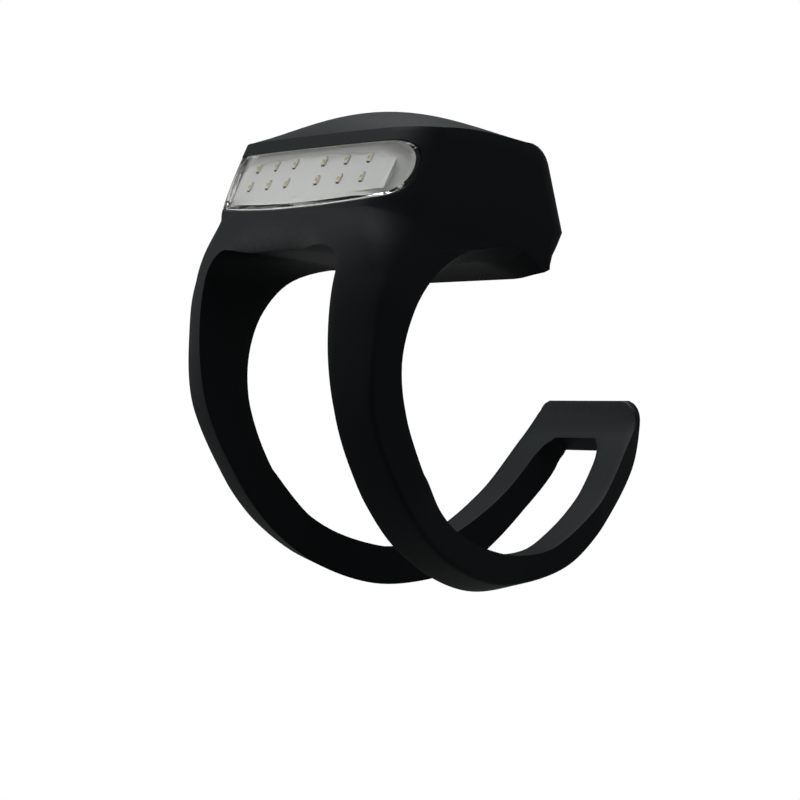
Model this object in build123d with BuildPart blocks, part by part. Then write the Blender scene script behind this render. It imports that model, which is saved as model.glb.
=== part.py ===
from build123d import *
import math
import os

os.makedirs("parts", exist_ok=True)

# Saddle that sits on the bar. Its axis is the X axis.
bar_r = 12.7
flare_r = 15.36
flare_from = 13.2
rail_from = 11.2
seat_relief = 0.2
side_reach = 17.0

# Outline of the head. The front is crowned about an upright axis behind it.
crown_y = 13.7
ridge_y, ridge_z = -13.3, 26.7
foot_y, foot_z = -18.4, 17.9
knee_y, knee_z = -21.24, 11.9
chin_y, chin_z = -22.35, 4.5
shin_y, shin_z = -20.51, -5.6
dome_y, dome_z = -3.9, 29.85
nape = (6.4, 25.95)
brow = (8.5, 25.15)
shoulder = (9.3, 23.9)
nose = (11.3, 16.3)
nose_low = (10.1, 14.1)
nose_root = (8.3, 12.0)
seat_angle = 61.0
back_corner = 2.9
ridge_half = 14.7
head_half = 16.4
waist_half, waist_z = 16.2, 9.0
ankle_half, ankle_z = 14.2, -18.0
crease_r = 18.5
lean_r, lean_half = 27.4, 14.75

# Legs that run down from the head to the first flex line.
leg_r = 21.0
leg_crown = 44.0
ankle_angle = 225.0
leg_inner_r = 15.4
gap_top, gap_top_half = 13.3, 11.0
gap_low, gap_low_half = -15.0, 10.0
gap_corner = 1.5

# Flex lines of the strap, each a shallow knuckle.
flex_play = 0.3
front_flex_r = (leg_inner_r + 19.7) / 2
front_knuckle = 2.6
back_flex = (8.6, -21.57)
back_knuckle = 2.1
back_slope = 3.0

# Module that the sleeve holds, and the walls round it.
skin = 1.2
fit_play = 0.08
module_back = [(5.6, 24.85), (8.05, 23.2), (8.8, 20.8), (10.0, 16.6), (8.5, 14.5)]
lean = math.degrees(math.atan2(ridge_y - foot_y, ridge_z - foot_z))
skin_y = skin / math.cos(math.radians(lean))
floor_z = gap_top + skin
case_floor = 0.9
module_half = 13.4
module_dome = dome_z - 1.5
lens_t = 2.0
seal_t = 0.5
window_play = 0.06
flange = 1.2

# Power: two coin cells lie flat, one on the other.
cell_r, cell_h = 8.0, 3.2
cell_y = -2.2
well_play = 0.15
cell_chamfer = 0.35
contact_t = 0.2
cell_z = floor_z + case_floor + contact_t
split_z = cell_z + 2 * cell_h + 2 * contact_t

# Boards and the light box.
board_t = 0.7
board_y, board_z = -13.8, 20.1
board_turn = 15.0
light_w, light_h = 11.7, 7.4
chip_w, chip_h, chip_t = 0.9, 0.9, 0.4
row_high, row_low = 1.45, -0.85
chip_pitch = 3.45
tray_t = 1.1
main_half = 9.6
main_front, main_back = -9.9, 5.9
main_side_front = -7.0

# Button in the domed top.
pad_r = 6.2
pad_play = 0.3
pad_under = 28.0
press = 0.6
plunger_r, plunger_flange = 2.2, 4.2
plunger_low = 25.5
switch_side = 4.5
switch_top = split_z + board_t + 1.4
stem_r, stem_play = 1.0, 0.08
stem_low = switch_top - 0.25
stem_bore_low = stem_low - press - 0.1
dish_r, dish_z = 6.8, 26.4
lid_ceiling = 24.3
hub_ceiling = 25.3
hub_r = 3.9

# Fasteners.
case_screw_spots = [(11.3, -4.9), (11.0, 5.4)]
case_screw_r, case_head_r, case_head_h = 0.95, 1.7, 1.2
case_screw_top = 24.1
board_screw_spot = (8.6, 4.8)
board_screw_r, board_head_r, board_head_h = 0.7, 1.0, 0.6
thread_play = 0.05

# Catch at the back that the slot of the tail goes over.
catch_half = 3.2
catch_z, catch_t = 17.2, 2.0
catch_reach, lip_t, lip_top = 13.9, 1.4, 21.4
foot_plate_half, foot_plate_t = 5.0, 0.45
foot_plate_y, foot_plate_low, foot_plate_high = 8.2, 16.6, 20.2

# Tail: a slotted loop, seen from above it narrows to its tip.
loop_front = (14.4, -14.0)
loop_mid = (11.4, 8.0)
loop_tip = (8.3, 32.0)
slot_front = (10.05, -14.5)
slot_mid = (7.2, 8.0)
slot_back = (4.5, 26.4)
slot_end = 29.0
slot_corner = 2.0
tip_z, tip_corner = -2.5, 2.5


def on_circle(radius, angle):
    turn = math.radians(angle)
    return (radius * math.cos(turn), radius * math.sin(turn))


def receded(y, x):
    return crown_y - math.sqrt((crown_y - y) ** 2 - x ** 2)


def leg_drop(x):
    return leg_crown - math.sqrt(leg_crown ** 2 - x ** 2)


def pushed(point, amount):
    length = math.hypot(point[0] + 1, point[1])
    return (point[0] + amount * (point[0] + 1) / length, point[1] + amount * point[1] / length)


front_flex = on_circle(front_flex_r, ankle_angle)
seat_back = on_circle(bar_r, seat_angle)


def head_section(x):
    rise = (dome_z - ridge_z) * (1 - (x / (ridge_half + 0.2)) ** 2)
    ridge = (receded(ridge_y, x), ridge_z)
    foot = (receded(foot_y, x), foot_z)
    chin = (receded(chin_y, x), chin_z)
    ankle = on_circle(leg_r - leg_drop(x), ankle_angle)
    with BuildSketch(Plane.YZ.offset(x)) as section:
        with BuildLine():
            Line(nose, shoulder)
            ThreePointArc(shoulder, brow, nape)
            ThreePointArc(nape, (dome_y, ridge_z + rise), ridge)
            Line(ridge, foot)
            ThreePointArc(foot, (receded(knee_y, x), knee_z), chin)
            ThreePointArc(chin, (receded(shin_y, x), shin_z), ankle)
            Line(ankle, (0, 0))
            Line((0, 0), seat_back)
            Line(seat_back, nose_root)
            Line(nose_root, nose_low)
            Line(nose_low, nose)
        make_face()
    return section.sketch


def module_section(x, play):
    half = module_half - play
    rise = (module_dome - ridge_z + skin) * (1 - (x / (half + 0.1)) ** 2)
    slope = (ridge_y - foot_y) / (ridge_z - foot_z)
    low = foot_y + (floor_z - foot_z) * slope + skin_y + play
    high = foot_y + (ridge_z - skin - foot_z) * slope + skin_y + play
    top = ridge_z - skin - play
    with BuildSketch(Plane.YZ.offset(x)) as section:
        with BuildLine():
            Line((receded(low, x), floor_z + play), (receded(high, x), top))
            ThreePointArc(
                (receded(high, x), top), (dome_y, top + rise),
                (module_back[0][0] - play, module_back[0][1] - play),
            )
            for upper, lower in zip(module_back, module_back[1:4]):
                Line(
                    (upper[0] - play, upper[1] - (play if upper is module_back[0] else 0)),
                    (lower[0] - play, lower[1]),
                )
            Line((module_back[3][0] - play, module_back[3][1]), (module_back[4][0], floor_z + play))
            Line((module_back[4][0], floor_z + play), (receded(low, x), floor_z + play))
        make_face()
    return section.sketch


def window(grow):
    with BuildSketch(Plane.YZ.offset(-side_reach)) as opening:
        with BuildLine():
            Line((-11.0, 25.3), (-24.0, 25.3))
            Line((-24.0, 25.3), (-24.0, foot_z))
            Line((-24.0, foot_z), (foot_y, foot_z))
            Line((foot_y, foot_z), (-15.0, 19.0))
            ThreePointArc((-15.0, 19.0), (-11.6, 20.9), (-10.2, 23.3))
            Line((-10.2, 23.3), (-11.0, 25.3))
        make_face()
        if grow:
            offset(amount=grow, kind=Kind.ARC)
    return opening.sketch


def light_plane(side):
    turn = math.radians(board_turn) * side
    tilt = math.radians(lean)
    across = (math.cos(turn), math.sin(turn), 0)
    out = (math.sin(turn) * math.cos(tilt), -math.cos(turn) * math.cos(tilt), math.sin(tilt))
    return Plane(origin=(0, board_y, board_z), x_dir=across, z_dir=out)


# Whole outer form of the head and its legs, before anything is hollowed out.
with BuildPart() as head_form:
    loft(sections=[head_section(x) for x in (-head_half, -10.0, 0, 10.0, head_half)])
    with BuildSketch(Plane.XZ) as rim:
        with BuildLine():
            Polyline(
                (-waist_half - 0.3, 0), (-waist_half - 0.3, crease_r), (-lean_half, lean_r),
                (-lean_half, 40), (lean_half, 40), (lean_half, lean_r),
                (waist_half + 0.3, crease_r), (waist_half + 0.3, 0), (-waist_half - 0.3, 0),
            )
        make_face()
    revolve(axis=Axis.X, mode=Mode.INTERSECT)
    with BuildSketch(Plane.XZ.offset(-30)) as waist:
        with BuildLine():
            Polyline(
                (-ankle_half, ankle_z), (-waist_half, waist_z), (-lean_half, 22), (-lean_half, 40),
                (lean_half, 40), (lean_half, 22), (waist_half, waist_z), (ankle_half, ankle_z),
                (-ankle_half, ankle_z),
            )
        make_face()
    extrude(amount=60, mode=Mode.INTERSECT)
    with BuildSketch(Plane.XY.offset(-30)) as plan:
        with Locations((0, nose[0] - 30)):
            RectangleRounded(2 * (waist_half + 0.6), 60, back_corner)
    extrude(amount=80, mode=Mode.INTERSECT)

# Block that fills the inside of the sleeve, with and without its play.
with BuildPart() as module_room:
    loft(sections=[module_section(x, 0) for x in (-13.4, -8.0, 0, 8.0, 13.4)])

with BuildPart() as module_form:
    loft(sections=[module_section(x, fit_play) for x in (-13.32, -8.0, 0, 8.0, 13.32)])


def behind(depth, half):
    back = depth / math.cos(math.radians(lean))
    slope = (ridge_y - foot_y) / (ridge_z - foot_z)
    low = crown_y - (foot_y + (10 - foot_z) * slope + back)
    high = crown_y - (foot_y + (32 - foot_z) * slope + back)
    with BuildPart() as inner:
        with BuildSketch(Plane.XZ.offset(-crown_y)) as wedge:
            with BuildLine():
                Polyline((0, 10), (low, 10), (high, 32), (0, 32), (0, 10))
            make_face()
        revolve(axis=Axis((0, crown_y, 0), (0, 0, 1)))
        with BuildSketch(Plane.XY.offset(9)) as keep:
            Rectangle(2 * half, 90)
        extrude(amount=30, mode=Mode.INTERSECT)
    return inner.part


with BuildPart() as head:
    add(head_form.part)
    with BuildSketch(Plane.XZ) as bore:
        with BuildLine():
            Polyline(
                (-side_reach, 0), (-side_reach, flare_r), (-flare_from, bar_r),
                (-rail_from, bar_r), (-rail_from, bar_r + seat_relief),
                (rail_from, bar_r + seat_relief), (rail_from, bar_r), (flare_from, bar_r),
                (side_reach, flare_r), (side_reach, 0), (-side_reach, 0),
            )
        make_face()
    revolve(axis=Axis.X, mode=Mode.SUBTRACT)
    with BuildSketch(Plane.XZ) as gap:
        with BuildLine():
            Polyline(
                (-gap_low_half, gap_low - 5), (-gap_top_half, gap_top), (gap_top_half, gap_top),
                (gap_low_half, gap_low - 5), (-gap_low_half, gap_low - 5),
            )
        make_face()
        fillet(gap.vertices().group_by(Axis.Y)[-1], gap_corner)
    extrude(amount=30, mode=Mode.SUBTRACT)
    with BuildSketch(Plane.YZ.offset(-side_reach)) as relief:
        with BuildLine():
            ThreePointArc(
                on_circle(bar_r, 192), on_circle(leg_inner_r - 1.1, 209),
                on_circle(leg_inner_r, ankle_angle),
            )
            Line(on_circle(leg_inner_r, ankle_angle), (0, 0))
            Line((0, 0), on_circle(bar_r, 192))
        make_face()
    extrude(amount=2 * side_reach, mode=Mode.SUBTRACT)
    add(module_room.part, mode=Mode.SUBTRACT)
    add(window(0))
    extrude(amount=2 * side_reach, dir=(1, 0, 0), mode=Mode.SUBTRACT)
    with BuildSketch(Plane.YZ.offset(-side_reach)) as socket:
        with Locations(front_flex):
            Circle(front_knuckle + flex_play)
    extrude(amount=2 * side_reach, mode=Mode.SUBTRACT)
    with BuildSketch(Plane.XY.offset(pad_under - 2)) as pad_hole:
        with Locations((0, dome_y)):
            Circle(pad_r + pad_play)
    extrude(amount=6, mode=Mode.SUBTRACT)
    with BuildSketch(Plane.XY.offset(catch_z - 0.1)) as catch_hole:
        with Locations((0, nose[0])):
            Rectangle(2 * catch_half + 0.2, 8)
    extrude(amount=catch_t + 0.2, mode=Mode.SUBTRACT)


with BuildPart() as press_pad:
    add(head_form.part)
    with BuildSketch(Plane.XY.offset(pad_under)) as pad_round:
        with Locations((0, dome_y)):
            Circle(pad_r)
    extrude(amount=6, mode=Mode.INTERSECT)

# Plan outline of the strap and tail, seen from above.
with BuildPart() as loop_form:
    with BuildSketch(Plane.XY.offset(-40)) as loop_outline:
        with BuildLine():
            Line((-loop_front[0], loop_front[1] - 8), (loop_front[0], loop_front[1] - 8))
            Line((loop_front[0], loop_front[1] - 8), loop_front)
            ThreePointArc(loop_front, loop_mid, loop_tip)
            Line(loop_tip, (-loop_tip[0], loop_tip[1]))
            ThreePointArc(
                (-loop_tip[0], loop_tip[1]), (-loop_mid[0], loop_mid[1]),
                (-loop_front[0], loop_front[1]),
            )
            Line((-loop_front[0], loop_front[1]), (-loop_front[0], loop_front[1] - 8))
        make_face()
        with BuildSketch(mode=Mode.SUBTRACT) as slot:
            with BuildLine():
                Line((-slot_front[0], slot_front[1] - 8), (slot_front[0], slot_front[1] - 8))
                Line((slot_front[0], slot_front[1] - 8), slot_front)
                ThreePointArc(slot_front, slot_mid, slot_back)
                Line(slot_back, (slot_back[0] - 0.6, slot_end))
                Line((slot_back[0] - 0.6, slot_end), (0.6 - slot_back[0], slot_end))
                Line((0.6 - slot_back[0], slot_end), (-slot_back[0], slot_back[1]))
                ThreePointArc(
                    (-slot_back[0], slot_back[1]), (-slot_mid[0], slot_mid[1]),
                    (-slot_front[0], slot_front[1]),
                )
                Line((-slot_front[0], slot_front[1]), (-slot_front[0], slot_front[1] - 8))
            make_face()
            fillet(slot.vertices().group_by(Axis.Y)[-1], slot_corner)
    extrude(amount=60)


def leg_section(x, amount):
    start = front_flex
    ahead = on_circle(leg_inner_r + 0.1, ankle_angle - 14)
    outside = on_circle(19.85, ankle_angle - 14)
    with BuildSketch(Plane.YZ.offset(x)) as section:
        with BuildLine():
            Spline(
                pushed(outside, amount), pushed(on_circle(19.85, ankle_angle), amount),
                pushed((-5.4, -20.9), amount), pushed((3.4, -23.6), amount),
                pushed((back_flex[0] + 3.5, -23.1), amount),
            )
            Line(pushed((back_flex[0] + 3.5, -23.1), amount), (back_flex[0] + 3.5, -19.6))
            Spline(
                (back_flex[0] + 3.5, -19.6), (7.0, -19.95), (-0.4, -17.8), (-8.4, -13.9),
                on_circle(leg_inner_r, ankle_angle), ahead,
            )
            Line(ahead, pushed(outside, amount))
        make_face()
    return section.sketch


with BuildPart() as leg_right:
    loft(sections=[leg_section(5.0, 1.1), leg_section(10.0, 0), leg_section(15.5, -1.4)])
    add(loop_form.part, mode=Mode.INTERSECT)
    with BuildSketch(Plane.YZ) as front_end:
        with Locations(front_flex):
            Rectangle(8, 14, rotation=ankle_angle + 90, align=(Align.MAX, Align.CENTER))
            Circle(front_knuckle, mode=Mode.SUBTRACT)
    extrude(amount=side_reach, mode=Mode.SUBTRACT)
    with BuildSketch(Plane.YZ) as back_end:
        with Locations(back_flex):
            Rectangle(8, 14, rotation=back_slope, align=(Align.MIN, Align.CENTER))
            Circle(back_knuckle, mode=Mode.SUBTRACT)
    extrude(amount=side_reach, mode=Mode.SUBTRACT)

with BuildPart() as leg_left:
    add(leg_right.part)
    mirror(about=Plane.YZ, mode=Mode.REPLACE)

with BuildPart() as tail:
    with BuildSketch(Plane.YZ.offset(-side_reach)) as tail_side:
        with BuildLine():
            Spline(
                (back_flex[0] - 4, -23.6), (back_flex[0] + 3.6, -23.05), (17.5, -21.1),
                (24.9, -15.4), (29.7, -10.0), (31.2, -5.5), (31.3, tip_z),
            )
            Line((31.3, tip_z), (30.5, tip_z))
            Spline(
                (30.5, tip_z), (30.0, -5.0), (27.2, -8.5), (21.9, -14.3), (15.9, -18.0),
                (back_flex[0] + 3.6, -19.55), (back_flex[0] - 4, -20.1),
            )
            Line((back_flex[0] - 4, -20.1), (back_flex[0] - 4, -23.6))
        make_face()
    extrude(amount=2 * side_reach)
    add(loop_form.part, mode=Mode.INTERSECT)
    with BuildSketch(Plane.YZ.offset(-side_reach)) as tail_start:
        with Locations(back_flex):
            Rectangle(12, 14, rotation=back_slope, align=(Align.MAX, Align.CENTER))
            Circle(back_knuckle + flex_play)
    extrude(amount=2 * side_reach, mode=Mode.SUBTRACT)
    for side in (-1, 1):
        with BuildSketch(Plane.XZ.offset(-60)) as tip_round:
            with Locations((side * loop_tip[0], tip_z)):
                Rectangle(2 * tip_corner, 2 * tip_corner)
            with Locations((side * (loop_tip[0] - tip_corner), tip_z - tip_corner)):
                Circle(tip_corner, mode=Mode.SUBTRACT)
            with Locations((side * (loop_tip[0] - 2 * tip_corner), tip_z)):
                Rectangle(2 * tip_corner, 4 * tip_corner, mode=Mode.SUBTRACT)
        extrude(amount=60, mode=Mode.SUBTRACT)

# Lens: the window itself and the flange behind the sleeve.
with BuildPart() as lens:
    add(head_form.part)
    add(window(-window_play))
    extrude(amount=2 * side_reach, dir=(1, 0, 0), mode=Mode.INTERSECT)
    with BuildPart(mode=Mode.PRIVATE) as lens_flange:
        add(module_form.part)
        add(window(flange - window_play))
        extrude(amount=2 * side_reach, dir=(1, 0, 0), mode=Mode.INTERSECT)
    add(lens_flange.part)
    add(behind(lens_t, module_half - lens_t + skin), mode=Mode.SUBTRACT)


with BuildPart() as seal:
    add(module_form.part)
    add(window(flange - window_play))
    extrude(amount=2 * side_reach, dir=(1, 0, 0), mode=Mode.INTERSECT)
    add(window(-window_play - 0.4))
    extrude(amount=2 * side_reach, dir=(1, 0, 0), mode=Mode.SUBTRACT)
    add(behind(lens_t, module_half - lens_t + skin), mode=Mode.INTERSECT)
    add(behind(lens_t + seal_t, module_half - lens_t + skin - seal_t), mode=Mode.SUBTRACT)

# Space that the lens flange and its seal take out of the case.
with BuildPart() as lens_room:
    add(window(flange))
    extrude(amount=2 * side_reach, dir=(1, 0, 0))
    add(behind(lens_t + seal_t, module_half - lens_t + skin - seal_t), mode=Mode.SUBTRACT)

# Chamber that the two light boards and their tray lie in.
with BuildPart() as chamber:
    add(window(-0.25))
    extrude(amount=2 * side_reach, dir=(1, 0, 0))
    add(behind(lens_t + seal_t + tray_t + 0.1, module_half - 2.1), mode=Mode.SUBTRACT)
    for side in (-1, 1):
        with BuildSketch(light_plane(side).offset(-board_t)) as half_room:
            with Locations((side * (light_w - 1.2) / 2, 0)):
                Rectangle(light_w + 2.6, light_h + 1.0)
        extrude(amount=12)

with BuildPart() as light_box:
    for side in (-1, 1):
        with BuildSketch(light_plane(side).offset(-board_t)) as half_frame:
            with Locations((side * (light_w - 1.2) / 2, 0)):
                Rectangle(light_w + 2.4, light_h + 0.9)
        extrude(amount=12)
    add(window(-cell_chamfer))
    extrude(amount=2 * side_reach, dir=(1, 0, 0))
    for side in (-1, 1):
        with BuildSketch(light_plane(side).offset(-board_t - 1)) as half_well:
            with Locations((side * (light_w - 2.0) / 2, 0)):
                Rectangle(light_w + 2.2, light_h + 0.1)
        extrude(amount=14, mode=Mode.SUBTRACT)
    add(behind(lens_t + seal_t + 0.05, module_half - lens_t + skin - seal_t - 0.05), mode=Mode.INTERSECT)
    with BuildPart(mode=Mode.PRIVATE) as tray_hollow:
        add(behind(lens_t + seal_t + tray_t, module_half - 2.0))
        for side in (-1, 1):
            with BuildSketch(light_plane(side).offset(-board_t)) as half_keep:
                with Locations((side * (light_w - 1.2) / 2, 0)):
                    Rectangle(light_w + 2.4, light_h + 0.9)
            extrude(amount=16, mode=Mode.SUBTRACT)
    add(tray_hollow.part, mode=Mode.SUBTRACT)

with BuildPart() as board_right:
    with BuildSketch(light_plane(1).offset(-board_t)) as board_shape:
        with Locations((light_w / 2 + 0.3, 0)):
            Rectangle(light_w - 0.4, light_h)
    extrude(amount=board_t)

with BuildPart() as board_left:
    add(board_right.part)
    mirror(about=Plane.YZ, mode=Mode.REPLACE)

with BuildPart() as chips_upper:
    for side in (-1, 1):
        with BuildSketch(light_plane(side)) as upper_row:
            for step in (1, 2, 3):
                with Locations((side * step * chip_pitch, row_high)):
                    Rectangle(chip_w, chip_h)
        extrude(amount=chip_t)

with BuildPart() as chips_lower:
    for side in (-1, 1):
        with BuildSketch(light_plane(side)) as lower_row:
            for step in (0.5, 1.5, 2.5):
                with Locations((side * step * chip_pitch, row_low)):
                    Rectangle(chip_w, chip_h)
        extrude(amount=chip_t)

with BuildPart() as case_base:
    add(module_form.part)
    with BuildSketch(Plane.XY.offset(split_z)) as above:
        Rectangle(60, 60)
    extrude(amount=20, mode=Mode.SUBTRACT)
    add(lens_room.part, mode=Mode.SUBTRACT)
    add(chamber.part, mode=Mode.SUBTRACT)
    with BuildSketch(Plane.XY.offset(floor_z + case_floor)) as well:
        with Locations((0, cell_y)):
            Circle(cell_r + well_play)
        with Locations((cell_r + well_play, cell_y)):
            Rectangle(2 * contact_t + 0.6, 2.4)
    extrude(amount=10, mode=Mode.SUBTRACT)
    with BuildSketch(Plane.XY.offset(floor_z)) as shanks:
        for spot in case_screw_spots:
            with Locations(spot, (-spot[0], spot[1])):
                Circle(case_screw_r + thread_play)
    extrude(amount=20, mode=Mode.SUBTRACT)
    with BuildSketch(Plane.XY.offset(floor_z)) as sinks:
        for spot in case_screw_spots:
            with Locations(spot, (-spot[0], spot[1])):
                Circle(case_head_r + 0.1)
    extrude(amount=case_head_h + 0.3, mode=Mode.SUBTRACT)
    with BuildSketch(Plane.XY.offset(split_z)) as board_holes:
        with Locations(board_screw_spot, (-board_screw_spot[0], board_screw_spot[1])):
            Circle(board_screw_r + thread_play)
    extrude(amount=-4.1, mode=Mode.SUBTRACT)
    with BuildSketch(Plane.XY.offset(foot_plate_low - 0.05)) as plate_room:
        with Locations((0, foot_plate_y - 0.05)):
            Rectangle(2 * foot_plate_half + 0.1, 6, align=(Align.CENTER, Align.MIN))
    extrude(amount=foot_plate_high - foot_plate_low + 0.1, mode=Mode.SUBTRACT)

with BuildPart() as case_lid:
    add(module_form.part)
    with BuildSketch(Plane.XY.offset(split_z)) as below:
        Rectangle(60, 60)
    extrude(amount=-20, mode=Mode.SUBTRACT)
    add(lens_room.part, mode=Mode.SUBTRACT)
    add(chamber.part, mode=Mode.SUBTRACT)
    with BuildSketch(Plane.XY.offset(split_z)) as lid_room:
        with BuildLine():
            Polyline(
                (0, main_front - 0.2), (main_half + 0.15, main_side_front - 0.2),
                (main_half + 0.15, main_back + 0.15), (-main_half - 0.15, main_back + 0.15),
                (-main_half - 0.15, main_side_front - 0.2), (0, main_front - 0.2),
            )
        make_face()
    extrude(amount=lid_ceiling - split_z, mode=Mode.SUBTRACT)
    with BuildSketch(Plane.XY.offset(split_z)) as hub:
        with Locations((0, dome_y)):
            Circle(hub_r)
    extrude(amount=hub_ceiling - split_z, mode=Mode.SUBTRACT)
    with BuildSketch(Plane.XY.offset(split_z)) as plunger_hole:
        with Locations((0, dome_y)):
            Circle(plunger_r + 0.1)
    extrude(amount=10, mode=Mode.SUBTRACT)
    with BuildSketch(Plane.XY.offset(dish_z)) as dish:
        with Locations((0, dome_y)):
            Circle(dish_r)
    extrude(amount=6, mode=Mode.SUBTRACT)
    with BuildSketch(Plane.XY.offset(split_z)) as lid_threads:
        for spot in case_screw_spots:
            with Locations(spot, (-spot[0], spot[1])):
                Circle(case_screw_r + thread_play)
    extrude(amount=case_screw_top + 0.2 - split_z, mode=Mode.SUBTRACT)
    with BuildSketch(Plane.XY.offset(split_z)) as pin_room:
        with Locations((4, -9.6), (-4, -9.6)):
            Rectangle(2.2, 2.4)
    extrude(amount=1.4, mode=Mode.SUBTRACT)

with BuildPart() as case_screws:
    for spot in case_screw_spots:
        for side in (-1, 1):
            with BuildSketch(Plane.XY.offset(floor_z + 0.3)) as screw_head:
                with Locations((side * spot[0], spot[1])):
                    Circle(case_head_r)
                    RegularPolygon(0.75, 6, mode=Mode.SUBTRACT)
            extrude(amount=0.8)
            with BuildSketch(Plane.XY.offset(floor_z + 1.1)) as screw_neck:
                with Locations((side * spot[0], spot[1])):
                    Circle(case_head_r)
            extrude(amount=case_head_h - 0.8)
            with BuildSketch(Plane.XY.offset(floor_z + 0.3 + case_head_h)) as screw_shank:
                with Locations((side * spot[0], spot[1])):
                    Circle(case_screw_r)
            extrude(amount=case_screw_top - floor_z - 0.3 - case_head_h)

with BuildPart() as contact_lower:
    with BuildSketch(Plane.XY.offset(floor_z + case_floor)) as lower_plate:
        with Locations((0, cell_y)):
            Circle(4.2)
        with Locations((0, cell_y)):
            Rectangle(cell_r + well_play + contact_t, 2.0, align=(Align.MIN, Align.CENTER))
        with Locations((0, cell_y)):
            Rectangle(12, 2.0)
    extrude(amount=contact_t)
    with BuildSketch(Plane.XY.offset(floor_z + case_floor)) as riser:
        with Locations((cell_r + well_play, cell_y)):
            Rectangle(contact_t, 2.0, align=(Align.MIN, Align.CENTER))
    extrude(amount=split_z - floor_z - case_floor)

with BuildPart() as contact_upper:
    with BuildSketch(Plane.XY.offset(split_z - 2 * contact_t)) as upper_plate:
        with Locations((0, cell_y)):
            Rectangle(12, 5)
            Circle(4.0)
    extrude(amount=contact_t)
    with BuildSketch(Plane.XY.offset(split_z - contact_t)) as upper_tabs:
        with Locations((5, cell_y), (-5, cell_y)):
            Rectangle(2, 3)
    extrude(amount=contact_t)

with BuildPart() as cell_lower:
    with BuildSketch(Plane.XY.offset(cell_z)) as lower_round:
        with Locations((0, cell_y)):
            Circle(cell_r)
    extrude(amount=cell_h)
    chamfer(cell_lower.edges().filter_by(GeomType.CIRCLE).group_by(Axis.Z)[0], cell_chamfer)

with BuildPart() as cell_upper:
    with BuildSketch(Plane.XY.offset(cell_z + cell_h)) as upper_round:
        with Locations((0, cell_y)):
            Circle(cell_r)
    extrude(amount=cell_h)
    chamfer(cell_upper.edges().filter_by(GeomType.CIRCLE).group_by(Axis.Z)[0], cell_chamfer)

with BuildPart() as main_board:
    with BuildSketch(Plane.XY.offset(split_z)) as main_shape:
        with BuildLine():
            Polyline(
                (0, main_front), (main_half, main_side_front), (main_half, main_back),
                (-main_half, main_back), (-main_half, main_side_front), (0, main_front),
            )
        make_face()
        with Locations(board_screw_spot, (-board_screw_spot[0], board_screw_spot[1])):
            Circle(board_screw_r + thread_play, mode=Mode.SUBTRACT)
    extrude(amount=board_t)

with BuildPart() as board_screws:
    for side in (-1, 1):
        with BuildSketch(Plane.XY.offset(split_z - 4)) as small_shank:
            with Locations((side * board_screw_spot[0], board_screw_spot[1])):
                Circle(board_screw_r)
        extrude(amount=4 + board_t)
        with BuildSketch(Plane.XY.offset(split_z + board_t)) as small_head:
            with Locations((side * board_screw_spot[0], board_screw_spot[1])):
                Circle(board_head_r)
                Rectangle(1.8, 0.4, mode=Mode.SUBTRACT)
        extrude(amount=board_head_h)

with BuildPart() as control_chip:
    with BuildSketch(Plane.XY.offset(split_z + board_t)) as chip_shape:
        with Locations((0, 3.6)):
            Rectangle(5.0, 3.0)
    extrude(amount=0.85)

with BuildPart() as resistors:
    with BuildSketch(Plane.XY.offset(split_z + board_t)) as resistor_shape:
        with GridLocations(0, 2.2, 1, 3):
            with Locations((-6.6, 0.6), (6.6, 0.6)):
                Rectangle(1.6, 0.8)
    extrude(amount=0.45)

with BuildPart() as board_links:
    with BuildSketch(Plane.XY.offset(split_z + board_t)) as link_shape:
        with Locations((4, -8.8), (-4, -8.8)):
            Rectangle(1.6, 1.5)
    extrude(amount=0.3)

with BuildPart() as switch_body:
    with BuildSketch(Plane.XY.offset(split_z + board_t)) as switch_shape:
        with Locations((0, dome_y)):
            Rectangle(switch_side, switch_side)
    extrude(amount=switch_top - split_z - board_t)
    with BuildSketch(Plane.XY.offset(stem_bore_low)) as stem_bore:
        with Locations((0, dome_y)):
            Circle(stem_r + stem_play)
    extrude(amount=4, mode=Mode.SUBTRACT)

with BuildPart() as switch_stem:
    with BuildSketch(Plane.XY.offset(stem_low)) as stem_shape:
        with Locations((0, dome_y)):
            Circle(stem_r)
    extrude(amount=plunger_low - stem_low)

with BuildPart() as plunger:
    with BuildSketch(Plane.XY.offset(plunger_low)) as plunger_shape:
        with Locations((0, dome_y)):
            Circle(plunger_r)
    extrude(amount=pad_under - plunger_low)
    with BuildSketch(Plane.XY.offset(pad_under - 0.7)) as flange_shape:
        with Locations((0, dome_y)):
            Circle(plunger_flange)
    extrude(amount=0.7)

with BuildPart() as catch:
    with BuildSketch(Plane.YZ) as catch_side:
        with BuildLine():
            Polyline(
                (foot_plate_y + foot_plate_t - 0.1, catch_z), (catch_reach, catch_z),
                (catch_reach, lip_top), (catch_reach - lip_t + 0.5, lip_top),
                (catch_reach - lip_t, lip_top - 0.8), (catch_reach - lip_t, catch_z + catch_t),
                (foot_plate_y + foot_plate_t - 0.1, catch_z + catch_t),
                (foot_plate_y + foot_plate_t - 0.1, catch_z),
            )
        make_face()
        fillet(catch_side.vertices().sort_by_distance((0, catch_reach, catch_z))[0], 1.0)
    extrude(amount=catch_half, both=True)
    with BuildSketch(Plane.XY.offset(foot_plate_low)) as plate_shape:
        with Locations((0, foot_plate_y)):
            Rectangle(2 * foot_plate_half, foot_plate_t, align=(Align.CENTER, Align.MIN))
    extrude(amount=foot_plate_high - foot_plate_low)

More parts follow.
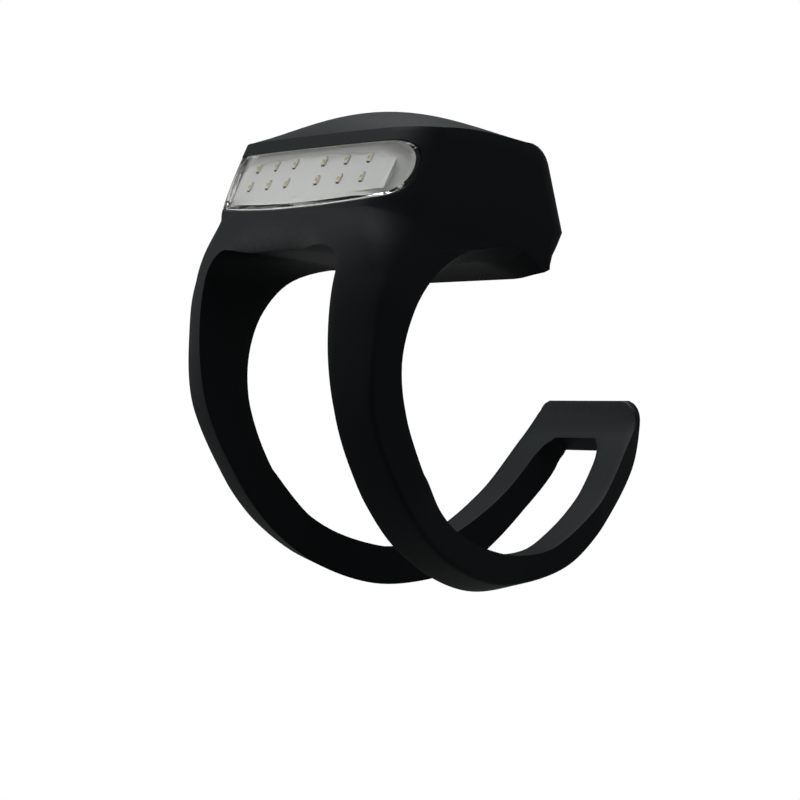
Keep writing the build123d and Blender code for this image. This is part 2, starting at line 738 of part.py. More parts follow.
for node, name in (
    (head, "sleeve_head"), (press_pad, "press_pad"), (leg_right, "leg_right"),
    (leg_left, "leg_left"), (tail, "sleeve_tail"), (lens, "lens"), (seal, "lens_seal"),
    (light_box, "light_box"), (board_right, "light_board_right"),
    (board_left, "light_board_left"), (chips_upper, "chips_upper"),
    (chips_lower, "chips_lower"), (case_base, "case_base"), (case_lid, "case_lid"),
    (case_screws, "case_screws"), (contact_lower, "contact_lower"),
    (contact_upper, "contact_upper"), (cell_lower, "cell_lower"),
    (cell_upper, "cell_upper"), (main_board, "main_board"), (board_screws, "board_screws"),
    (control_chip, "control_chip"), (resistors, "resistors"), (board_links, "board_links"),
    (switch_body, "switch_body"), (switch_stem, "switch_stem"), (plunger, "plunger"),
    (catch, "catch_hook"),
):
    node.part.label = name
    export_step(node.part, "parts/" + name + ".step")
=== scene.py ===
import math

import bmesh
import bpy
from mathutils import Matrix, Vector


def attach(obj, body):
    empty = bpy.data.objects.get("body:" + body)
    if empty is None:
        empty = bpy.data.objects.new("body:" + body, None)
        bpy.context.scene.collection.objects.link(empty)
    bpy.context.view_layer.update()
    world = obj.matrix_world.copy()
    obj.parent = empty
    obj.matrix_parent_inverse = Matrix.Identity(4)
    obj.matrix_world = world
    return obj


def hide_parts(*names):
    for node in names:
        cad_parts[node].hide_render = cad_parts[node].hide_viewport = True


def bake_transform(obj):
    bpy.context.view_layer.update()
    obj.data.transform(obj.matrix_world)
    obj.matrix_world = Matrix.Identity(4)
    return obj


# Sizes are in millimetres and degrees. x runs across the light, y from its lens to the back of
# the head, and z up, with the middle of the bar at the origin.
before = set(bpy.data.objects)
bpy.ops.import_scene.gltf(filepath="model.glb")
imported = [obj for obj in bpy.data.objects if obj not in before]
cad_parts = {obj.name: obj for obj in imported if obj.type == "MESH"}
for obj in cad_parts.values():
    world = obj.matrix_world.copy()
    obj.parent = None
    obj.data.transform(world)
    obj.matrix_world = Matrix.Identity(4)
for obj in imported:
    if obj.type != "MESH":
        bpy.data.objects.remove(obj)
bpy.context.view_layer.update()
mm = 0.001
weld, tiny = 2e-6, 1e-7  # metres: how near points are joined, and what counts as nothing

# Side profile of the head, as (y, z): nose, back, brow, domed top and leaning face.
bar_r = 12.7
nose_root, nose_low, nose = (8.1, 12.05), (9.8, 14.1), (11.28, 16.3)
shoulder, brow, nape = (9.4, 23.9), (8.6, 25.2), (6.4, 26.0)
ridge_y, ridge_z = -12.9, 26.7
foot_y, foot_z = -17.9, 18.1
rim_z = 14.2  # where the face ends and the two legs part
# The dome's height and half width, the share of the way to the front where it peaks, and the
# least that it rises at its sides.
dome_z, dome_half, dome_peak, dome_least = 29.82, 15.1, 0.54, 0.04
face_slant = 1.155  # how much longer a depth under the leaning face is along y
# Radii: the crease round the bar on the side faces, the head's corners seen from above, the
# edge of the legs, the top corners of the gap, and the roll of the face above the gap.
crease_r = 18.5
front_r, back_r = 4.0, 3.0
edge_r, top_r, roll_r = 0.35, 3.0, 3.6
roll_depth = 0.36  # share of roll_r by which the face rolls in
low_crown_r = 44.0  # crown of the front below the head
side_slope = 0.05  # how the side faces lean in outside the crease
strap_slope = 0.26  # slope of the outside of each leg, down from the gap to the side
# Saddle: angles round the bar at the nose, the rim and the loop, and the flare of its edges,
# which fades out on the way to the loop.
nose_turn, rim_turn, loop_turn = 61, 92, 225
rail_x, flare_slope, fade_turn = 12.4, 0.478, 170
edge_x = 15.2  # where the side faces start at the saddle
flat_x, flat_share = 13.2, 0.62  # where the evenly spaced part of the inner face starts
width_x = 13.5  # the column that the half width of a station is read at
inset_x = 14.0  # from here outward a block is drawn in by the whole inset
gap_draft, DRAFT = 0.9, 6  # how much wider the gap is inside, and the stations it takes
crease_least, crease_most = 0.12, 0.94  # shares of the side face that the crease stays within

# How many stations each stretch of the profile gets, and points each part of a ring.
NOSE, BACK, BROW, DOME, FACE, BRIDGE, LEG, LOOP = 5, 9, 5, 26, 14, 14, 34, 84
SIDE_STEPS, GROUP, MIDDLE, TURN, WALL, INSIDE = 10, 6, 12, 6, 6, 4
SETTLE = 14  # stations over which the legs take the shape of the loop
leg_pace, saddle_pace = 1.6, 0.9  # powers that space the legs' stations outside and inside


def lerp(a, b, t):
    return a + (b - a) * t


def smooth(t):
    """Share t, kept within 0 and 1 and eased at both ends."""
    t = min(max(t, 0.0), 1.0)
    return t * t * (3 - 2 * t)


def table(value, *pairs):
    """Amount at a place, straight between the (place, amount) pairs around it."""
    if value <= pairs[0][0]:
        return pairs[0][1]
    for (x0, y0), (x1, y1) in zip(pairs, pairs[1:]):
        if value <= x1:
            return lerp(y0, y1, (value - x0) / (x1 - x0))
    return pairs[-1][1]


def receded(y, z, x):
    """Where the front at y on the middle line lies at x, flatter towards the top."""
    radius = table(z, (11, 30.5), (18, 48.0), (26.7, 150.0))
    return y + radius - math.sqrt(radius**2 - x * x)


def circle_of(p, q, r):
    """Centre and radius of the circle through three points."""
    ax, ay = q[0] - p[0], q[1] - p[1]
    bx, by = r[0] - p[0], r[1] - p[1]
    d = 2 * (ax * by - ay * bx)
    cx = (by * (ax * ax + ay * ay) - ay * (bx * bx + by * by)) / d
    cy = (ax * (bx * bx + by * by) - bx * (ax * ax + ay * ay)) / d
    return (p[0] + cx, p[1] + cy), math.hypot(cx, cy)


def arc(p, q, r, t):
    """Point at share t of the arc from p through q to r."""
    (cx, cy), radius = circle_of(p, q, r)
    start = math.atan2(p[1] - cy, p[0] - cx)
    turn = math.atan2(r[1] - cy, r[0] - cx) - start
    middle = (math.atan2(q[1] - cy, q[0] - cx) - start) % (2 * math.pi)
    turn %= 2 * math.pi
    if middle > turn:
        turn -= 2 * math.pi
    angle = start + turn * t
    return (cx + radius * math.cos(angle), cy + radius * math.sin(angle))


def through(points, t):
    """Smooth curve through the points; t counts the points."""
    i = min(int(t), len(points) - 2)
    u = t - i
    p1, p2 = points[i], points[i + 1]
    p0 = points[i - 1] if i else tuple(2 * a - b for a, b in zip(p1, p2))
    p3 = points[i + 2] if i + 2 < len(points) else tuple(2 * a - b for a, b in zip(p2, p1))
    d01 = math.dist(p0, p1) ** 0.5
    d12 = math.dist(p1, p2) ** 0.5
    d23 = math.dist(p2, p3) ** 0.5
    out = []
    for a, b, c, d in zip(p0, p1, p2, p3):
        m1 = c - b + d12 * ((b - a) / d01 - (c - a) / (d01 + d12))
        m2 = c - b + d12 * ((d - c) / d23 - (d - b) / (d12 + d23))
        out.append(
            (2 * b - 2 * c + m1 + m2) * u**3 + (-3 * b + 3 * c - 2 * m1 - m2) * u**2 + m1 * u + b
        )
    return tuple(out)


# Front, strap and tail from the foot of the face to the tip, as (y, z): the outside at side_x,
# and the inside of the loop. Places along them count the points of front_out, so the loop
# starts at loop_from, and the slot ends near slot_stop.
side_x = 12.0
front_out = [
    (-16.31, 18.1), (-18.3, 14.2), (-19.8, 9.4), (-20.28, 4.5), (-20.13, 0.6), (-19.5, -2.9),
    (-18.15, -6.4), (-16.2, -9.9), (-13.9, -13.3), (-10.1, -17.3), (-4.4, -21.0), (3.4, -23.35),
    (12.1, -22.9), (17.5, -21.1), (24.6, -15.7), (29.6, -10.2), (31.15, -5.5), (31.25, -2.55),
]
loop_from = 7.7
loop_in = [
    (-12.0, -8.3), (-10.25, -10.25), (-4.6, -16.25), (4.2, -19.45), (11.6, -19.6), (15.9, -18.0),
    (22.4, -13.8), (27.5, -8.2), (30.0, -5.0), (30.6, -2.55),
]
slot_stop, slot_corner_r, slot_end_gap, slot_end_x = 15.3, 2.0, 2.2, 4.0
tip_y, tip_z = 27, -2.5  # where the tip's corners start, and where they end
tip_rise = 0.08  # how far the middle of the tip may rise


def crease_half(turn):
    """Half the width across the crease, at an angle round the bar."""
    z = crease_r * math.sin(turn)
    return table(z, (-17, 14.2), (-7, 14.7), (0.5, 15.6), (8, 16.15), (15, 15.9), (19, 15.8))


def head_half(y, z):
    """Half the width of the head and the legs."""
    r = math.hypot(y, z)
    half = crease_half(math.atan2(z, y))
    return half - side_slope * max(0.0, r - crease_r)


def loop_half(y, z):
    """Half the width of the loop, with the corners of the tip rounded."""
    half = table(y, (-17, 14.3), (-14, 14.35), (-3, 12.8), (8, 11.35), (16, 10.95), (21.5, 10.5),
                 (25.4, 9.7), (28.8, 8.9), (31.3, 8.25))
    if y > tip_y:
        round_r = table(y, (30.65, 3.6), (31.2, 1.7))
        fall = min(max(0.0, z - tip_z + round_r), round_r)
        half -= round_r - math.sqrt(round_r**2 - fall**2)
    return half


def leg_gap(z):
    """Half the gap between the legs."""
    return table(z, (-20, 9.5), (-12, 9.85), (-3, 10.7), (rim_z, 11.0))


def slot_gap(y):
    """Half the width of the slot in the tail."""
    return table(y, (-14.5, 9.65), (-6, 9.0), (2, 7.8), (8, 7.1), (14, 6.4), (20, 5.75),
                 (24.3, 5.15), (26.4, 4.7), (29, 4.1))


def station_list():
    """(kind, share) of every station from the root of the nose to the tip of the tail."""
    out = [("nose", i / NOSE) for i in range(NOSE)]
    out += [("back", i / BACK) for i in range(BACK)]
    out += [("brow", i / BROW) for i in range(BROW)]
    out += [("dome", i / DOME) for i in range(DOME)]
    out += [("face", i / FACE) for i in range(FACE)]
    out += [("front", rim_share * i / BRIDGE) for i in range(BRIDGE)]
    out += [("front", lerp(rim_share, loop_from, (i / LEG) ** leg_pace)) for i in range(LEG)]
    out += [("front", lerp(loop_from, len(front_out) - 1, i / LOOP)) for i in range(LOOP + 1)]
    return out


def share_at(z):
    """Share of the front curve, near its top, at height z."""
    low, high = 0.0, 3.0
    for _ in range(30):
        share = (low + high) / 2
        if through(front_out, share)[1] > z:
            low = share
        else:
            high = share
    return low


rim_share = share_at(rim_z)
stations = station_list()
rim_at = next(i for i, s in enumerate(stations) if s[0] == "front") + BRIDGE
loop_at = rim_at + LEG
slot_at = min(range(len(stations)), key=lambda i: abs(stations[i][1] - slot_stop))


def rim_roll(k, x, z):
    """How far the face rolls in above the gap between the legs."""
    if k > rim_at:
        return 0.0
    left = min(max(0.0, z - rim_z), roll_r)
    width = leg_gap(rim_z) - top_r
    return roll_depth * (roll_r - left) ** 2 / roll_r * (1 - smooth(2 * abs(x) / width - 1))


def outer_point(k, x, drop, inset=0.0):
    """Outer profile at station k for a column at x whose corner is set back by drop."""
    kind, t = stations[k]
    if kind == "nose":
        if t < 0.5:
            y, z = lerp(nose_root[0], nose_low[0], t * 2), lerp(nose_root[1], nose_low[1], t * 2)
        else:
            u = t * 2 - 1
            y, z = lerp(nose_low[0], nose[0], u), lerp(nose_low[1], nose[1], u)
        return y - drop * table(t, (0, 0.25), (0.4, 0.8), (1, 1.0)), z
    if kind == "back":
        return lerp(nose[0], shoulder[0], t) - drop, lerp(nose[1], shoulder[1], t)
    if kind == "brow":
        y, z = arc(shoulder, brow, nape, t)
        return y - drop, z
    if kind == "dome":
        rise = (dome_z - ridge_z) * (1 - (x / dome_half) ** 2)
        start = (nape[0] - drop, nape[1])
        end = (receded(ridge_y, ridge_z, x) + drop, ridge_z)
        top = (lerp(start[0], end[0], dome_peak), ridge_z + max(rise, dome_least))
        y, z = arc(start, top, end, t)
        return y, z - inset
    if kind == "face":
        y, z = lerp(ridge_y, foot_y, t), lerp(ridge_z, foot_z, t)
        return receded(y, z, x) + drop + inset * face_slant, z
    y, z = through(front_out, t)
    step = 0.02
    ahead = through(front_out, min(t + step, len(front_out) - 1.0))
    behind = through(front_out, max(t - step, 0.0))
    ty, tz = ahead[0] - behind[0], ahead[1] - behind[1]
    length = math.hypot(ty, tz)
    ny, nz = tz / length, -ty / length
    # The crown of the head runs out into a rounder front, and that into the strap.
    high = (y + receded(0.0, z, x) - receded(0.0, z, side_x), z)
    rise = math.sqrt(low_crown_r**2 - x * x) - math.sqrt(low_crown_r**2 - side_x**2)
    low = (y + ny * rise, z + nz * rise)
    leg_middle = (loop_half(y, z) + slot_gap(y)) / 2
    fall = strap_slope * (abs(x) - leg_middle)
    fall *= table(t, (9, 1.0), (12.5, 0.8), (15, 0.25), (17, 0.1))
    if k >= slot_at:
        fall = max(fall, -tip_rise)
    strap = (y - ny * fall, z - nz * fall)
    to_low = smooth(table(t, (2.5, 0.0), (5.5, 1.0)))
    to_strap = smooth(table(t, (7.0, 0.0), (9.5, 1.0)))
    y = lerp(lerp(high[0], low[0], to_low), strap[0], to_strap)
    z = lerp(lerp(high[1], low[1], to_low), strap[1], to_strap)
    push = drop + inset + rim_roll(k, x, z)
    return y - ny * push, z - nz * push


def inner_point(k, x):
    """Inner profile at station k for a column at x: the saddle, then the inside of the loop."""
    if k >= loop_at:
        t = stations[k][1]
        # The point of loop_in that faces each point of front_out.
        return through(loop_in, table(t, (loop_from, 1.0), (10, 2.0), (17, 9.0)))
    if k < rim_at:
        turn = math.radians(lerp(nose_turn, rim_turn, k / rim_at))
    else:
        share = ((k - rim_at) / (loop_at - rim_at)) ** saddle_pace
        turn = math.radians(lerp(rim_turn, loop_turn, share))
    degrees = math.degrees(turn)
    grow = table(degrees, (rim_turn, 0), (125, 0.3), (150, 0.5), (185, 0.47), (195, 0.53),
                 (204, 0.73), (212, 1.03), (219, 1.4), (loop_turn, 1.8))
    flare = max(0.0, abs(x) - rail_x) * flare_slope * (
        1 - smooth((degrees - fade_turn) / (loop_turn - fade_turn))
    )
    flare *= table(degrees, (nose_turn, 0.45), (76, 1.0))
    r = bar_r + grow + flare
    return r * math.cos(turn), r * math.sin(turn)


def half_at(k, y, z):
    """Half the width at station k."""
    if k < loop_at:
        return head_half(y, z)
    settle = smooth((k - loop_at) / SETTLE)
    return lerp(head_half(y, z), loop_half(y, z), settle)


def gap_at(k):
    """Half the gap at station k, with its top corners and the end of the slot rounded."""
    if k <= rim_at:
        return leg_gap(rim_z) - top_r
    if k > slot_at:
        return slot_end_gap
    y, z = outer_point(k, side_x, 0.0)
    if k < loop_at:
        fall = rim_z - z
        gap = leg_gap(z)
        if fall < top_r:
            gap -= top_r - math.sqrt(max(0.0, top_r**2 - (top_r - fall) ** 2))
        return gap
    gap = lerp(leg_gap(z), slot_gap(y), smooth((k - loop_at) / SETTLE))
    r = slot_corner_r
    left = math.dist((y, z), outer_point(slot_at, slot_end_x, 0.0))
    if left < r:
        gap -= r - math.sqrt(max(0.0, r**2 - (r - left) ** 2))
    return gap


def corner_at(k):
    """Radius of the corner between the outer face and the side face."""
    kind, t = stations[k]
    if kind in ("nose", "back", "brow"):
        return back_r
    if kind == "dome":
        return lerp(back_r, front_r, t)
    if kind == "face":
        return front_r
    return lerp(front_r, edge_r, smooth(table(t, (0, 0.0), (2.4, 1.0))))


def side_columns(k):
    """(x, drop) from the gap out to the side, on the outer face."""
    y, z = outer_point(k, width_x, 0.0)
    half, gap, r = half_at(k, y, z), gap_at(k), corner_at(k)
    out = [(lerp(gap, half - r, i / GROUP), 0.0) for i in range(GROUP + 1)]
    for i in range(1, TURN + 1):
        turn = math.radians(90 * i / TURN)
        x = half - r + r * math.sin(turn)
        out.append((x, r * (1 - math.cos(turn))))
    return out


def outside_row(k, inset):
    """Outer face from the gap to the side, as points for x above zero."""
    out = []
    for x, drop in side_columns(k):
        x -= inset * min(1.0, x / inset_x)
        y, z = outer_point(k, x, drop, inset)
        out.append((x, y, z))
    return out


def side_row(k, end):
    """Side face from the outer edge down to the saddle, both ends left out."""
    x_end, y1, z1 = end
    y0, z0 = inner_point(k, edge_x)
    crease = 0.5
    if k < loop_at:
        # The share of the way at which the side face crosses the crease.
        low, high = 0.0, 1.0
        for _ in range(24):
            crease = (low + high) / 2
            if math.hypot(lerp(y0, y1, crease), lerp(z0, z1, crease)) < crease_r:
                low = crease
            else:
                high = crease
        crease = min(max(crease, crease_least), crease_most)
    shift = x_end - half_at(k, y1, z1)
    out = []
    for i in range(1, SIDE_STEPS):
        u = 2 * i / SIDE_STEPS
        t = lerp(1, crease, u) if u <= 1 else lerp(crease, 0, u - 1)
        y, z = lerp(y0, y1, t), lerp(z0, z1, t)
        out.append((half_at(k, y, z) + shift * t, y, z))
    return out


def inside_row(k, gap, inset):
    """Inner face from the side in to the gap."""
    y, z = inner_point(k, edge_x)
    half = half_at(k, y, z) - inset
    flat = min(flat_x, lerp(gap, half, flat_share))
    xs = [half, lerp(half, flat, 0.5), flat]
    xs += [lerp(flat, gap, i / INSIDE) for i in range(1, INSIDE + 1)]
    return [(x,) + inner_point(k, x) for x in xs]


def mirrored(points):
    """The points on the other side, in the order that goes on round the ring."""
    return [(-x, y, z) for x, y, z in reversed(points)]


def full_ring(k, inset):
    """Closed ring of the head or the tip at station k, drawn in by inset."""
    gap = gap_at(k)
    right = outside_row(k, inset)
    first = right[0][0]
    middle = []
    for i in range(1, MIDDLE):
        x = lerp(-first, first, i / MIDDLE)
        middle.append((x,) + outer_point(k, x, 0.0, inset))
    side = side_row(k, right[-1])
    inside = inside_row(k, gap, inset)
    under = []
    for i in range(1, MIDDLE):
        x = lerp(gap, -gap, i / MIDDLE)
        under.append((x,) + inner_point(k, x))
    outer = mirrored(right) + middle + right
    return outer + side + inside + under + mirrored(inside) + mirrored(side)


def draft_at(k):
    """How much wider the gap is at the saddle than at the outer face."""
    eased = smooth((k - rim_at) / DRAFT) * smooth((slot_at - k) / DRAFT)
    return gap_draft * eased


def leg_ring(k):
    """Closed ring of the leg on the side of x above zero."""
    gap = gap_at(k)
    right = outside_row(k, 0.0)
    inside = inside_row(k, gap + draft_at(k), 0.0)
    a, b = inside[-1], right[0]
    wall = [tuple(lerp(p, q, i / WALL) for p, q in zip(a, b)) for i in range(1, WALL)]
    return right + side_row(k, right[-1]) + inside + wall


def sweep(bm, rings):
    """Skin over the rings, given in millimetres."""
    rows = [[bm.verts.new(tuple(v * mm for v in p)) for p in ring] for ring in rings]
    for a, b in zip(rows, rows[1:]):
        for i in range(len(a)):
            j = (i + 1) % len(a)
            bm.faces.new((a[i], a[j], b[j], b[i]))
    return rows


def between_legs(bm, k):
    """Wall that closes the gap where the legs part or join."""
    gap = gap_at(k)
    rows = []
    for w in range(WALL + 1):
        row = []
        for i in range(MIDDLE + 1):
            x = lerp(-gap, gap, i / MIDDLE)
            inner = inner_point(k, x)
            outer = outer_point(k, x, 0.0)
            row.append(bm.verts.new(tuple(v * mm for v in (
                x, lerp(inner[0], outer[0], w / WALL), lerp(inner[1], outer[1], w / WALL)
            ))))
        rows.append(row)
    for a, b in zip(rows, rows[1:]):
        for i in range(MIDDLE):
            bm.faces.new((a[i], a[i + 1], b[i + 1], b[i]))


def as_object(name, bm):
    """Object of the mesh, its doubled points joined and its faces turned outward."""
    bmesh.ops.remove_doubles(bm, verts=bm.verts, dist=weld)
    bmesh.ops.dissolve_degenerate(bm, dist=tiny, edges=bm.edges)
    bmesh.ops.recalc_face_normals(bm, faces=bm.faces)
    mesh = bpy.data.meshes.new(name)
    bm.to_mesh(mesh)
    bm.free()
    obj = bpy.data.objects.new(name, mesh)
    bpy.context.collection.objects.link(obj)
    return obj


def whole_sleeve():
    """Head, two legs and tip in one skin, with walls where the legs part and join."""
    bm = bmesh.new()
    head = sweep(bm, [full_ring(k, 0.0) for k in range(rim_at + 1)])
    bm.faces.new(head[0])
    between_legs(bm, rim_at)
    legs = [leg_ring(k) for k in range(rim_at, slot_at + 1)]
    sweep(bm, legs)
    sweep(bm, [[(-x, y, z) for x, y, z in ring] for ring in legs])
    between_legs(bm, slot_at)
    tip = sweep(bm, [full_ring(k, 0.0) for k in range(slot_at, len(stations))])
    bm.faces.new(tip[-1])
    return as_object("sleeve_whole", bm)


def head_block(name, inset):
    """The head alone as a closed block, drawn in by inset."""
    bm = bmesh.new()
    rows = sweep(bm, [full_ring(k, inset) for k in range(rim_at + 1)])
    bm.faces.new(rows[0])
    bm.faces.new(rows[-1])
    return as_object(name, bm)


# Outline of the window seen from the side, open to the front and round at its other end.
window_front, window_low, window_high = -24, 17.9, 25.3
window_foot_y, window_reach = -18.6, 18
low_arc = ((-15.8, 19.0), (-12.6, 20.7), (-11.2, 23.3))
high_arc = ((-11.2, 23.3), (-11.6, 24.7), (-13.0, 25.3))
LOW_ARC, HIGH_ARC = 10, 6


def window_block(name, grow, ease=0.0):
    """Prism across the head with the outline of the window, grown all round by grow and drawn
    back at its round end by ease."""
    outline = [(window_front, window_high + grow), (window_front, window_low - grow)]
    y, z = low_arc[0]
    outline += [(window_foot_y, window_low - grow), (y + 0.3 * grow, z - grow)]
    # Every point of the two arcs moves roughly outward as the window grows.
    for i in range(1, LOW_ARC + 1):
        t = i / LOW_ARC
        y, z = arc(*low_arc, t)
        outline.append((y + 0.8 * grow - ease * i / LOW_ARC, z - 0.6 * grow * (1 - t)))
    for i in range(1, HIGH_ARC + 1):
        t = i / HIGH_ARC
        y, z = arc(*high_arc, t)
        outline.append((y + 0.8 * grow * (1 - t) - ease, z + grow * i / HIGH_ARC))
    bm = bmesh.new()
    ends = (-window_reach, window_reach)
    sweep(bm, [[(x, y, z) for y, z in outline] for x in ends])
    for x in ends:
        ring = [v for v in bm.verts if abs(v.co.x - x * mm) < 1e-6]
        bm.faces.new(ring)
    return as_object(name, bm)


def settled(obj, name):
    """The object as a plain mesh with its modifiers worked in."""
    graph = bpy.context.evaluated_depsgraph_get()
    mesh = bpy.data.meshes.new_from_object(obj.evaluated_get(graph))
    mesh.name = name
    out = bpy.data.objects.new(name, mesh)
    bpy.context.collection.objects.link(out)
    bpy.data.objects.remove(obj)
    return out


def cut(obj, other, operation):
    """Cuts the object with another, or keeps what they share."""
    modifier = obj.modifiers.new("cut", "BOOLEAN")
    modifier.operation = operation
    modifier.object = other
    modifier.solver = "EXACT"


# Moulded silicone has no sharp edge, so the sleeve's edges are rounded before the window is
# cut. The angle is low enough to take in the ridge under the dome.
edge_soft, soft_from = 0.28, 20
sleeve = whole_sleeve()
bevel = sleeve.modifiers.new("soft_edges", "BEVEL")
bevel.width = edge_soft * mm
bevel.segments = 3
bevel.limit_method = "ANGLE"
bevel.angle_limit = math.radians(soft_from)
bevel.use_clamp_overlap = True
window_hole = window_block("window_hole", 0.0)
cut(sleeve, window_hole, "DIFFERENCE")
sleeve = settled(sleeve, "sleeve_cut")


def layer(name, top, bottom, grow, hole=None):
    """Shell that follows the face of the head between two depths, within the window grown by
    grow, and with a hole in it."""
    upper, lower = head_block(name + "_top", top), head_block(name + "_low", bottom)
    pane = window_block(name + "_pane", grow)
    cut(upper, pane, "INTERSECT")
    cut(upper, lower, "DIFFERENCE")
    if hole:
        cut(upper, hole, "DIFFERENCE")
    out = settled(upper, name)
    for helper in (lower, pane):
        bpy.data.objects.remove(helper)
    return out


# The light boards lie close behind the lens as a shallow V, each half turned back from the
# middle, so that all the chips show through the lens. Their fronts lie behind the face by
# board_depth, at the height board_z.
lean = math.atan2(foot_y - ridge_y, foot_z - ridge_z) % math.pi
board_turn = math.radians(4)
board_z, board_depth = 21.7, 1.1
board_y = lerp(foot_y, ridge_y, (board_z - foot_z) / (ridge_z - foot_z)) + board_depth
tray_half, tray_low, tray_high, tray_t = 13.0, 17.0, 26.0, 0.5


def board_plane(x, z):
    """Where the boards' front lies along y."""
    slope = math.tan(lean) / math.cos(board_turn)
    return board_y + math.tan(board_turn) * abs(x) + slope * (z - board_z)


def board_plate(name):
    """Both boards as one plate, folded at the middle."""
    bm = bmesh.new()
    rings = []
    for x in (-tray_half, 0.0, tray_half):
        low, high = board_plane(x, tray_low), board_plane(x, tray_high)
        rings.append([(x, low, tray_low), (x, high, tray_high), (x, high + tray_t, tray_high),
                      (x, low + tray_t, tray_low)])
    rows = sweep(bm, rings)
    bm.faces.new(rows[0])
    bm.faces.new(rows[-1])
    return as_object(name, bm)


# The lens, the lip of the light box round it, the box's rim, and the boards within the rim. A
# layer's numbers are the depths of its front and back, and its growth past the window.
lens_pane = layer("lens_pane", 0.03, 0.6, -0.22)
lip_hole = window_block("lip_hole", -0.19)
lip = layer("tray_lip", 0.3, 1.5, -0.03, lip_hole)
rim_hole = window_block("rim_hole", -0.75, 1.2)
rim = layer("tray_rim", 1.0, 5.2, 0.2, rim_hole)
tray = board_plate("light_tray")
tray_edge = window_block("tray_edge", -0.7, 1.15)
cut(tray, tray_edge, "INTERSECT")
tray = settled(tray, "light_tray")
for helper in (window_hole, lip_hole, rim_hole, tray_edge):
    bpy.data.objects.remove(helper)


def fill(tree, node, inputs):
    """Gives inputs of the node their values, or links them where an output is given."""
    for key, value in inputs.items():
        if isinstance(value, bpy.types.NodeSocket):
            tree.links.new(value, node.inputs[key])
        else:
            node.inputs[key].default_value = value


def add_node(tree, kind, inputs=None, **settings):
    """Node with its settings, values and links."""
    node = tree.nodes.new(kind)
    for key, value in settings.items():
        setattr(node, key, value)
    fill(tree, node, inputs or {})
    return node


# Width, height and thickness of the pieces of a chip, the bevel of their top edges, and how far
# up the board from board_z the middle of the two rows lies.
chip_sizes = {"body": (0.6, 1.0, 0.2), "glow": (0.36, 0.42, 0.26), "leads": (0.42, 1.25, 0.1)}
chip_edge, chip_shift = 0.07, 0.75


def chip_piece(kind):
    """One light chip's body, glowing patch or leads, lying on the board's plane."""
    bm = bmesh.new()
    wide, tall, high = (v * mm for v in chip_sizes[kind])
    bmesh.ops.create_cube(bm, size=1.0)
    bmesh.ops.scale(bm, vec=(wide, tall, high), verts=bm.verts)
    bmesh.ops.translate(bm, vec=(0, 0, high / 2), verts=bm.verts)
    top = [e for e in bm.edges if all(v.co.z > high * 0.9 for v in e.verts)]
    bmesh.ops.bevel(bm, geom=top, offset=chip_edge * mm, segments=2, profile=0.6, affect="EDGES")
    return as_object("chip_" + kind, bm)


def chip_rows_tree():
    """Node tree that lays a piece out in two rows on both halves of the V."""
    tree = bpy.data.node_groups.new("chip_rows", "GeometryNodeTree")
    face = tree.interface
    face.new_socket("Geometry", in_out="OUTPUT", socket_type="NodeSocketGeometry")
    face.new_socket("Geometry", in_out="INPUT", socket_type="NodeSocketGeometry")
    face.new_socket("Chips in a row", in_out="INPUT", socket_type="NodeSocketInt")
    for name in ("Chip pitch", "Row gap", "First chip", "Turn"):
        face.new_socket(name, in_out="INPUT", socket_type="NodeSocketFloat")
    face.new_socket("Finish", in_out="INPUT", socket_type="NodeSocketMaterial")
    inside = add_node(tree, "NodeGroupInput").outputs
    gaps = add_node(tree, "ShaderNodeMath", {0: inside["Chips in a row"], 1: 1.0},
                    operation="SUBTRACT")
    length = add_node(tree, "ShaderNodeMath", {0: gaps.outputs[0], 1: inside["Chip pitch"]},
                      operation="MULTIPLY")
    grid = add_node(tree, "GeometryNodeMeshGrid", {
        "Size X": length.outputs[0], "Size Y": inside["Row gap"],
        "Vertices X": inside["Chips in a row"], "Vertices Y": 2,
    })
    place = add_node(tree, "GeometryNodeInstanceOnPoints", {
        "Points": grid.outputs["Mesh"], "Instance": inside["Geometry"],
    })
    half = add_node(tree, "ShaderNodeMath", {
        0: length.outputs[0], 1: 0.5, 2: inside["First chip"],
    }, operation="MULTIPLY_ADD")
    join = add_node(tree, "GeometryNodeJoinGeometry")
    for side in (-1, 1):
        shift = add_node(tree, "ShaderNodeMath", {0: half.outputs[0], 1: side},
                         operation="MULTIPLY")
        along = add_node(tree, "ShaderNodeCombineXYZ", {
            "X": shift.outputs[0], "Y": chip_shift * mm,
        })
        first = add_node(tree, "GeometryNodeTransform", {
            "Geometry": place.outputs["Instances"], "Translation": along.outputs[0],
        })
        turned = add_node(tree, "ShaderNodeMath", {0: inside["Turn"], 1: side},
                          operation="MULTIPLY")
        angles = add_node(tree, "ShaderNodeCombineXYZ", {
            "X": math.pi / 2 - lean, "Z": turned.outputs[0],
        })
        second = add_node(tree, "GeometryNodeTransform", {
            "Geometry": first.outputs[0], "Rotation": angles.outputs[0],
            "Translation": (0, board_y * mm, board_z * mm),
        })
        fill(tree, join, {0: second.outputs[0]})
    real = add_node(tree, "GeometryNodeRealizeInstances", {0: join.outputs[0]})
    finish = add_node(tree, "GeometryNodeSetMaterial", {
        "Geometry": real.outputs[0], "Material": inside["Finish"],
    })
    add_node(tree, "NodeGroupOutput", {0: finish.outputs[0]})
    return tree


def chip_rows(kind, made, tree):
    """One piece of all twelve chips, as a plain mesh."""
    one = chip_piece(kind)
    modifier = one.modifiers.new("rows", "NODES")
    modifier.node_group = tree
    sockets = {i.name: i.identifier for i in tree.interface.items_tree if i.in_out == "INPUT"}
    values = {"Chips in a row": 3, "Chip pitch": 3.4 * mm, "Row gap": 2.45 * mm,
              "First chip": 2.5 * mm, "Turn": board_turn, "Finish": made}
    for name, value in values.items():
        modifier[sockets[name]] = value
    one.update_tag()
    return settled(one, "chips_" + kind)


